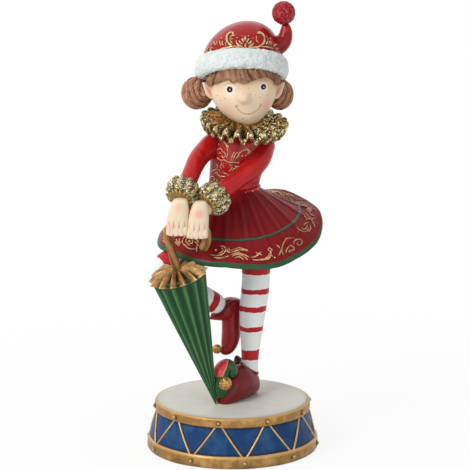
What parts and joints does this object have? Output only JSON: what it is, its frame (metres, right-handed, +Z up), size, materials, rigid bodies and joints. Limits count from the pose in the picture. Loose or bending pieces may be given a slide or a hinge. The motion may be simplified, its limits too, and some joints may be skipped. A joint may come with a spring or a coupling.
{
  "type": "elf figurine",
  "caption": "Painted resin figurine of a standing elf girl in a short flared dress who leans on a closed umbrella, on a round toy-drum base.",
  "frame": {"origin": "centre of the flat underside of the drum base", "axes": "+Z up through the figure, -Y towards the side the face looks to, +X towards the figure's left hand side"},
  "size_m": [0.084, 0.0834, 0.2125],
  "materials": {
    "painted_resin": "hand-painted cast polyresin, satin to glossy, with gilt lines and gold glitter"
  },
  "bodies": {
    "root": {"elf_figurine": "painted_resin"}
  },
  "joints": []
}
